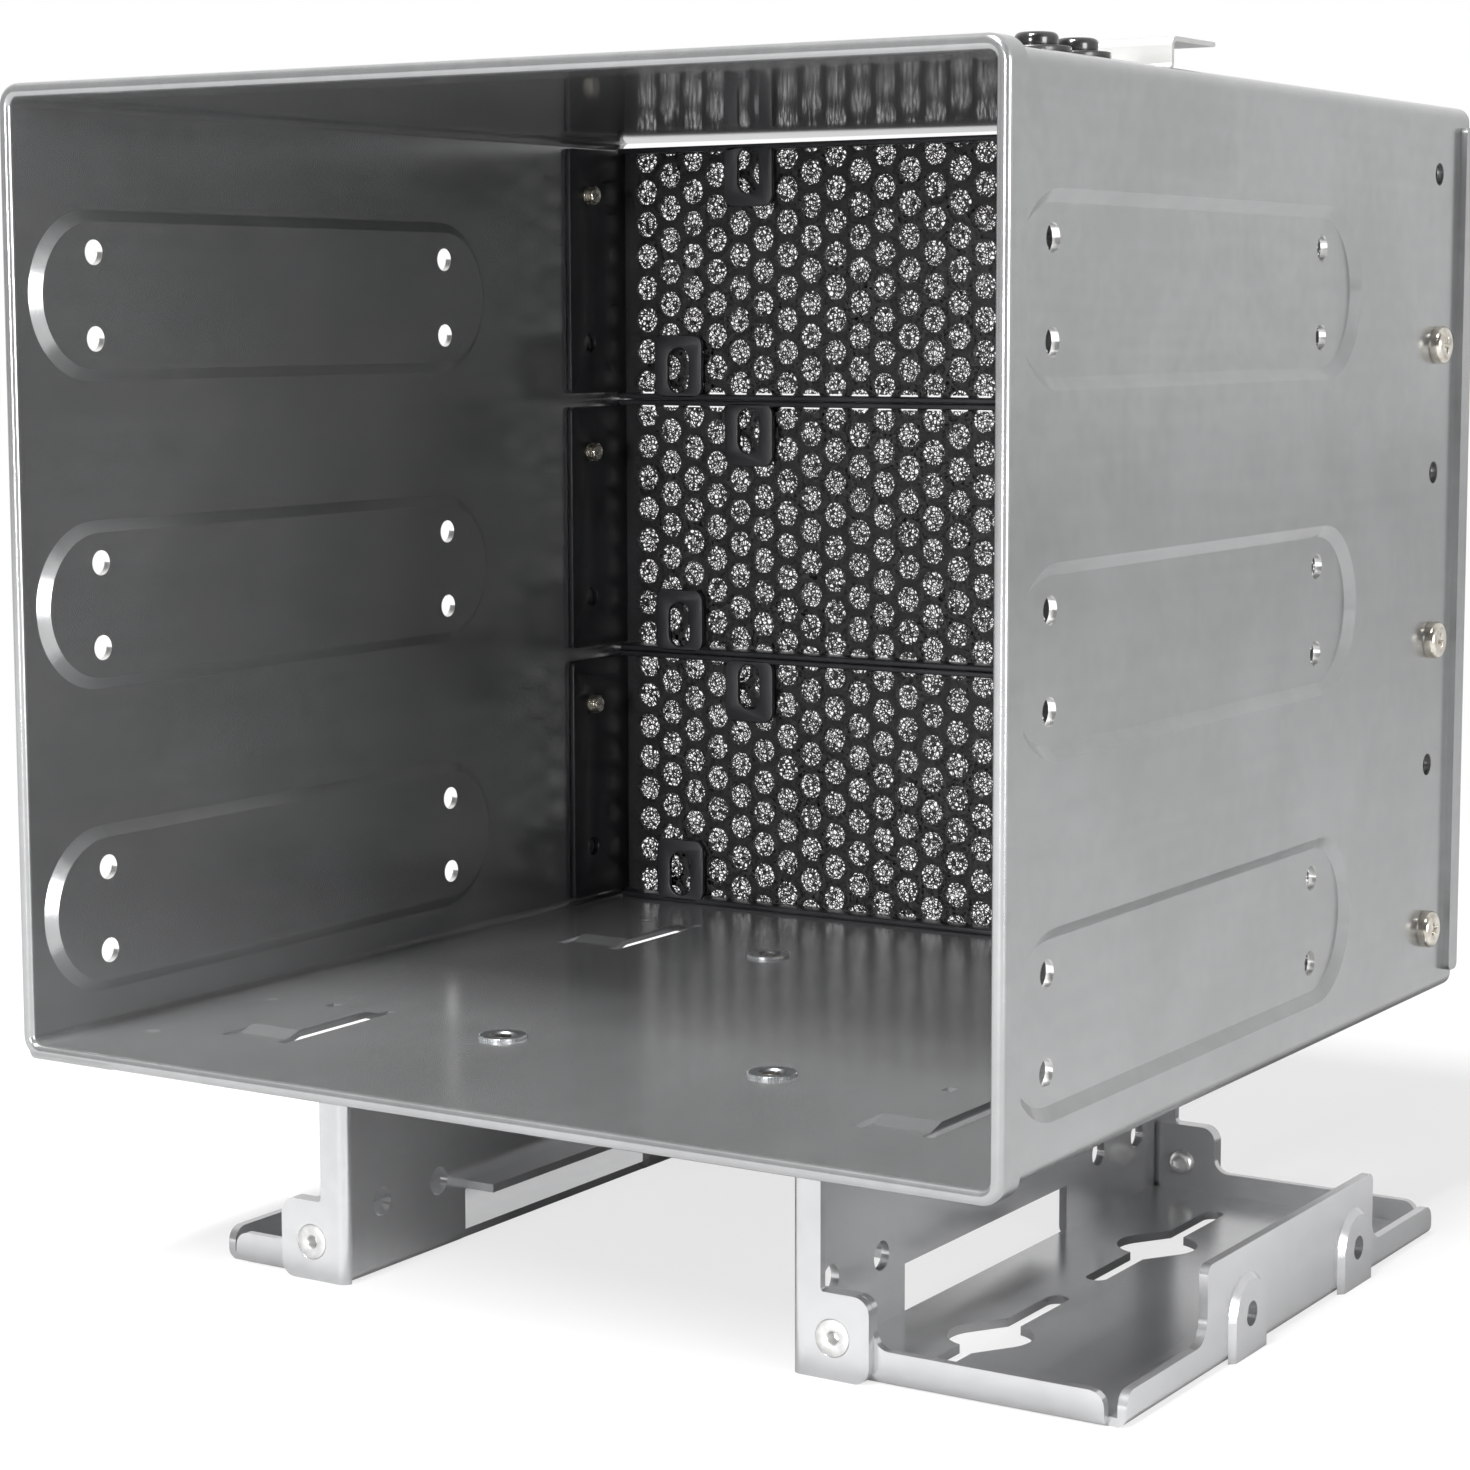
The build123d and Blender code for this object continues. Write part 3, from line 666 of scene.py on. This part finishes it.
def foam_pad(level, material):
    """Open-cell pad: a block with an uneven face, and one more layer of struts inside it."""
    low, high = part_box("foam_filter_" + level)
    middle = (low + high) / 2
    block = box_piece(low.x, high.x, low.y + 0.15 * mm, high.y, low.z, high.z)
    deselect()
    bpy.ops.mesh.primitive_plane_add(size=1.0, rotation=(pi / 2, 0, 0), location=middle)
    layer = bpy.context.object
    layer.scale = ((high.x - low.x) * 0.998, (high.z - low.z) * 0.995, 1)
    settle(layer)
    pad = joined([block, layer], "foam_pad_" + level)
    mesh = edit(pad)
    pick(pad, mesh, "faces", lambda f: True)
    bpy.ops.mesh.subdivide(number_cuts=9)
    done()
    clouds = bpy.data.textures.new("foam_swell", "CLOUDS")
    clouds.noise_scale = 6 * mm
    shape(pad, "DISPLACE", texture=clouds, texture_coords="LOCAL", direction="Y",
          strength=0.22 * mm, mid_level=0.5)
    wear(pad, material, "filter_foam", "foam_filter_" + level)


# ---------------------------------------------------------------- fasteners

def cross_arm(radius, height, turn):
    """One arm of a cross recess, wide at the top and narrow below."""
    deselect()
    bpy.ops.mesh.primitive_cone_add(vertices=4, radius1=0.10 * radius, radius2=0.80 * radius,
                                    depth=height, location=(0, 0, height * 0.72))
    arm = bpy.context.object
    arm.rotation_euler = (0, 0, pi / 4)
    settle(arm)
    arm.scale = (1.0, 0.30, 1.0)
    arm.rotation_euler = (0, 0, turn)
    settle(arm)
    return arm


def pan_head(name, radius, height, length, turn=0.0):
    """Pan-head screw on the Z axis, its head on z = 0: rolled edge, cross recess and thread."""
    rolled, eased = height * 0.45, height * 0.08
    head = cylinder_piece(radius, height, (0, 0, height / 2))
    mesh = edit(head, "EDGE")
    pick(head, mesh, "edges", lambda e: all(v.co.z > height * 0.9 for v in e.verts))
    bpy.ops.mesh.bevel(offset=rolled, segments=6, profile=0.5, affect="EDGES")
    done()
    mesh = edit(head, "EDGE")
    pick(head, mesh, "edges", lambda e: all(v.co.z < height * 0.1 for v in e.verts))
    bpy.ops.mesh.bevel(offset=eased, segments=2, affect="EDGES")
    done()
    arms = [cross_arm(radius, height, quarter + turn) for quarter in (0, pi / 2)]
    for arm in arms:
        cut(head, [arm])
    rounded(head, 0.05 * mm, 1, 50)
    shank = cylinder_piece(thread_radius * 0.86, length, (0, 0, -length / 2), corners=32)
    mesh = edit(shank, "EDGE")
    pick(shank, mesh, "edges", lambda e: all(v.co.z < -length * 0.95 for v in e.verts))
    bpy.ops.mesh.bevel(offset=0.3 * mm, segments=2, affect="EDGES")
    done()
    screw = joined([head, shank, thread_ridge(length)], name)
    smooth(screw)
    return screw


def thread_ridge(length):
    """One thread ridge, a small triangle spun down the shank."""
    turns = max(1, int((length - 0.5 * mm) / thread_pitch))
    deselect()
    bpy.ops.mesh.primitive_circle_add(vertices=3, radius=thread_pitch * 0.42, fill_type="NOTHING",
                                      rotation=(pi / 2, pi / 2, 0),
                                      location=(thread_radius * 0.90, 0, -0.4 * mm))
    ridge = bpy.context.object
    settle(ridge)
    steps = 18 * turns
    shape(ridge, "SCREW", axis="Z", screw_offset=-thread_pitch * turns, angle=2 * pi * turns,
          steps=steps, render_steps=steps, use_normal_calculate=True)
    edit(ridge)
    bpy.ops.mesh.select_all(action="SELECT")
    bpy.ops.mesh.bisect(plane_co=(0, 0, -length + 0.15 * mm), plane_no=(0, 0, -1),
                        clear_outer=True)
    face_out()
    done()
    return ridge


def turned_to(place, axis, spin=0.0):
    """Matrix that takes the Z axis to the given axis and the origin to the place."""
    turn = Vector((0, 0, 1)).rotation_difference(Vector(axis)).to_matrix().to_4x4()
    return Matrix.Translation(place) @ turn @ Matrix.Rotation(spin, 4, "Z")


def make_cover_screws(material):
    """Three screws through each wall, each driven to its own turn."""
    screw = pan_head("cover_screw", 2.7 * mm, 1.8 * mm, 3.6 * mm)
    for (side, name), rise in zip(sides, (screw_high, screw_low)):
        row = []
        for bay in range(3):
            place = (side * wall_outer, screw_line, cover_low + rise + bay * bay_pitch)
            row.append(copied(screw, turned_to(place, (side, 0, 0), 0.5 + 1.3 * bay)))
        wear(joined(row, "screws_" + name), material, "nickel_screw", "cover_screws_" + name)
    drop(screw)


def press_nut():
    """Round nut on the Z axis, flat on z = 0: knurled rim, countersunk thread, plain shank."""
    low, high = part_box("press_nuts_left")
    height = high.z - floor_top
    rim = (high.x - low.x) / 2 - 0.12 * mm
    collar = cylinder_piece(rim, height, (0, 0, height / 2), corners=96)
    mesh = edit(collar)
    pick(collar, mesh, "faces", lambda f: abs(f.normal.z) < 0.5 and f.index % 2 == 0)
    bpy.ops.mesh.extrude_region_shrink_fatten(TRANSFORM_OT_shrink_fatten={"value": 0.1 * mm})
    done()
    shank = cylinder_piece(2.3 * mm, mm, (0, 0, -0.5 * mm), corners=40)
    nut = joined([collar, shank], "press_nut")
    bore = cylinder_piece(nut_bore_radius, 6 * mm, (0, 0, 0), corners=40)
    deselect()
    bpy.ops.mesh.primitive_cone_add(vertices=40, radius1=1.2 * mm, radius2=2.1 * mm,
                                    depth=0.9 * mm, location=(0, 0, height - 0.3 * mm))
    sink = bpy.context.object
    settle(sink)
    cut(nut, [bore])
    cut(nut, [sink])
    smooth(nut, 30)
    return nut


def make_press_nuts(material):
    """Two nuts on each side of the floor."""
    nut = press_nut()
    for side, name in sides:
        pair = []
        for along in (-nut_along, nut_along):
            place = (side * nut_across, along, floor_top)
            pair.append(copied(nut, Matrix.Translation(place)))
        wear(joined(pair, "nuts_" + name), material, "nut_steel", "press_nuts_" + name)
    drop(nut)


def rivet():
    """Flush rivet on the Z axis, its face on z = 0: hollow centre, countersunk head, domed tail."""
    head_radius, head_depth = 2.45 * mm, 0.84 * mm
    shank_share, shank_length = 0.64, 1.56 * mm
    tail_radius, tail_length, tail_end = 1.8 * mm, 0.9 * mm, -3.3 * mm
    head = cylinder_piece(head_radius, head_depth, (0, 0, -head_depth / 2))
    mesh = edit(head)
    pick(head, mesh, "faces", lambda f: f.normal.z < -0.5)
    bpy.ops.transform.resize(value=(shank_share, shank_share, 1))
    bpy.ops.mesh.extrude_region_move(TRANSFORM_OT_translate={"value": (0, 0, -shank_length)})
    done()
    mesh = edit(head)
    pick(head, mesh, "faces", lambda f: f.normal.z > 0.5)
    bpy.ops.mesh.inset(thickness=1.5 * mm)
    for width, depth in ((0.16 * mm, 0.25 * mm), (0.12 * mm, 1.3 * mm)):
        bpy.ops.mesh.inset(thickness=width)
        bpy.ops.transform.translate(value=(0, 0, -depth))
    done()
    tail = cylinder_piece(tail_radius, tail_length, (0, 0, tail_end + tail_length / 2), corners=40)
    mesh = edit(tail, "EDGE")
    pick(tail, mesh, "edges", lambda e: all(v.co.z < tail_end + 0.1 * mm for v in e.verts))
    bpy.ops.mesh.bevel(offset=0.6 * mm, segments=4, affect="EDGES")
    done()
    mesh = edit(tail)
    pick(tail, mesh, "faces", lambda f: f.normal.z < -0.9)
    bpy.ops.mesh.inset(thickness=0.45 * mm)
    bpy.ops.mesh.inset(thickness=0.12 * mm)
    bpy.ops.transform.translate(value=(0, 0, 0.4 * mm))
    done()
    piece = joined([head, tail], "rivet")
    rounded(piece, 0.06 * mm, 2, 40)
    smooth(piece)
    return piece


def make_rivets(material):
    """Front and rear rivet of each foot."""
    first = rivet()
    for side, name in sides:
        pair = []
        for end in (-1, 1):
            place = (side * rivet_across, end * rivet_along, rivet_height)
            pair.append(copied(first, turned_to(place, (0, end, 0))))
        wear(joined(pair, "rivets_" + name), material, "rivet_steel", "foot_rivets_" + name)
    drop(first)


def make_foot_screws(material):
    """Screws from below into the press nuts."""
    for side, name in sides:
        low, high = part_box("foot_screws_" + name)
        screw = pan_head("foot_screw", 2.8 * mm, foot_screw_seat - low.z, high.z - foot_screw_seat)
        pair = []
        for turn, along in ((0.3, -nut_along), (1.1, nut_along)):
            place = (side * nut_across, along, foot_screw_seat)
            pair.append(copied(screw, turned_to(place, (0, 0, -1), turn)))
        wear(joined(pair, "under_screws_" + name), material, "nickel_screw",
             "foot_screws_" + name)
        drop(screw)


def make_top_fasteners(screw_finish, washer_finish):
    """Two black domed screws on two dished washers."""
    low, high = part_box("top_bracket_washers")
    radius = (high.x - low.x) / 2
    bottom, top = (corner.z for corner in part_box("top_bracket_screws"))
    washers, screws = [], []
    for turn, y in enumerate((low.y + radius, high.y - radius)):
        x = low.x + radius
        washer = cylinder_piece(radius, high.z - low.z, (x, y, (low.z + high.z) / 2), corners=64)
        mesh = edit(washer)
        pick(washer, mesh, "faces", lambda f: f.normal.z > 0.5)
        bpy.ops.mesh.inset(thickness=radius * 0.2)
        bpy.ops.mesh.inset(thickness=radius * 0.2)
        bpy.ops.transform.translate(value=(0, 0, -0.15 * mm))
        done()
        rounded(washer, 0.2 * mm, 3, 50)
        bore = cylinder_piece(washer_bore_radius, 6 * mm, (x, y, low.z), corners=40)
        cut(washer, [bore])
        washers.append(washer)
        screw = pan_head("top_screw", 2.65 * mm, top - high.z, high.z - bottom, turn=0.4 + turn)
        screws.append(copied(screw, Matrix.Translation((x, y, high.z))))
        drop(screw)
    washer = joined(washers, "round_washers")
    smooth(washer)
    wear(washer, washer_finish, "black_washer", "top_bracket_washers")
    wear(joined(screws, "domed_screws"), screw_finish, "black_screw", "top_bracket_screws")


# ---------------------------------------------------------------- the scene

set_camera()
deselect()
studio_world()
studio_ground()

# Name, place, point it faces, width and height in metres, watts
lamps = (("key", (-0.10, -1.28, 1.38), (0, 0, 0.06), 0.3, 0.9, 38.5),
         ("top", (-0.10, -0.75, 1.60), (0, 0, 0.06), 0.5, 0.3, 50.0),
         ("front", (-0.10, -2.1, 0.25), (0, 0, 0.04), 0.3, 0.4, 23.0),
         ("side", (1.05, -0.42, 0.10), (0.08, 0, 0.09), 0.4, 0.7, 12.0))
for lamp in lamps:
    softbox(*lamp)

cage_zinc = zinc_sheet("cage_zinc", (0.31, 0.315, 0.316, 1), (0.37, 0.376, 0.378, 1), 1,
                       gloss=0.2, metallic=0.77, caged=True)
# Painted light: the feet's zinc is coloured lighter than the cage's to stand in for light falling
# on them
foot_zinc_painted_lighter = zinc_sheet("foot_zinc_painted_lighter", (0.50, 0.505, 0.51, 1), (0.58, 0.585, 0.59, 1), 1,
                       gloss=0.21, metallic=0.75)
bracket_zinc = zinc_sheet("bracket_zinc", (0.52, 0.52, 0.51, 1), (0.60, 0.60, 0.59, 1), 0)
black = powder_black()
foam = open_foam()
nickel = plated("warm_nickel", (0.50, 0.46, 0.40, 1), (0.72, 0.69, 0.62, 1), 0.22)
nut_zinc = plated("nut_zinc", (0.40, 0.42, 0.43, 1), (0.58, 0.59, 0.60, 1), 0.34)
rivet_zinc = plated("rivet_zinc", (0.56, 0.56, 0.555, 1), (0.70, 0.70, 0.69, 1), 0.45)

for name, material in (("cage_shell", cage_zinc), ("foot_bracket_left", foot_zinc_painted_lighter),
                       ("foot_bracket_right", foot_zinc_painted_lighter), ("top_bracket", bracket_zinc)):
    nodes[name].data.materials.clear()
    nodes[name].data.materials.append(material)

make_covers(black)
for level in levels:
    foam_pad(level, foam)
make_cover_screws(nickel)
make_press_nuts(nut_zinc)
make_rivets(rivet_zinc)
make_foot_screws(nickel)
make_top_fasteners(glossy_black("black_oxide", 0.19), glossy_black("black_rubber", 0.35))

bpy.context.scene.view_settings.view_transform = "Standard"
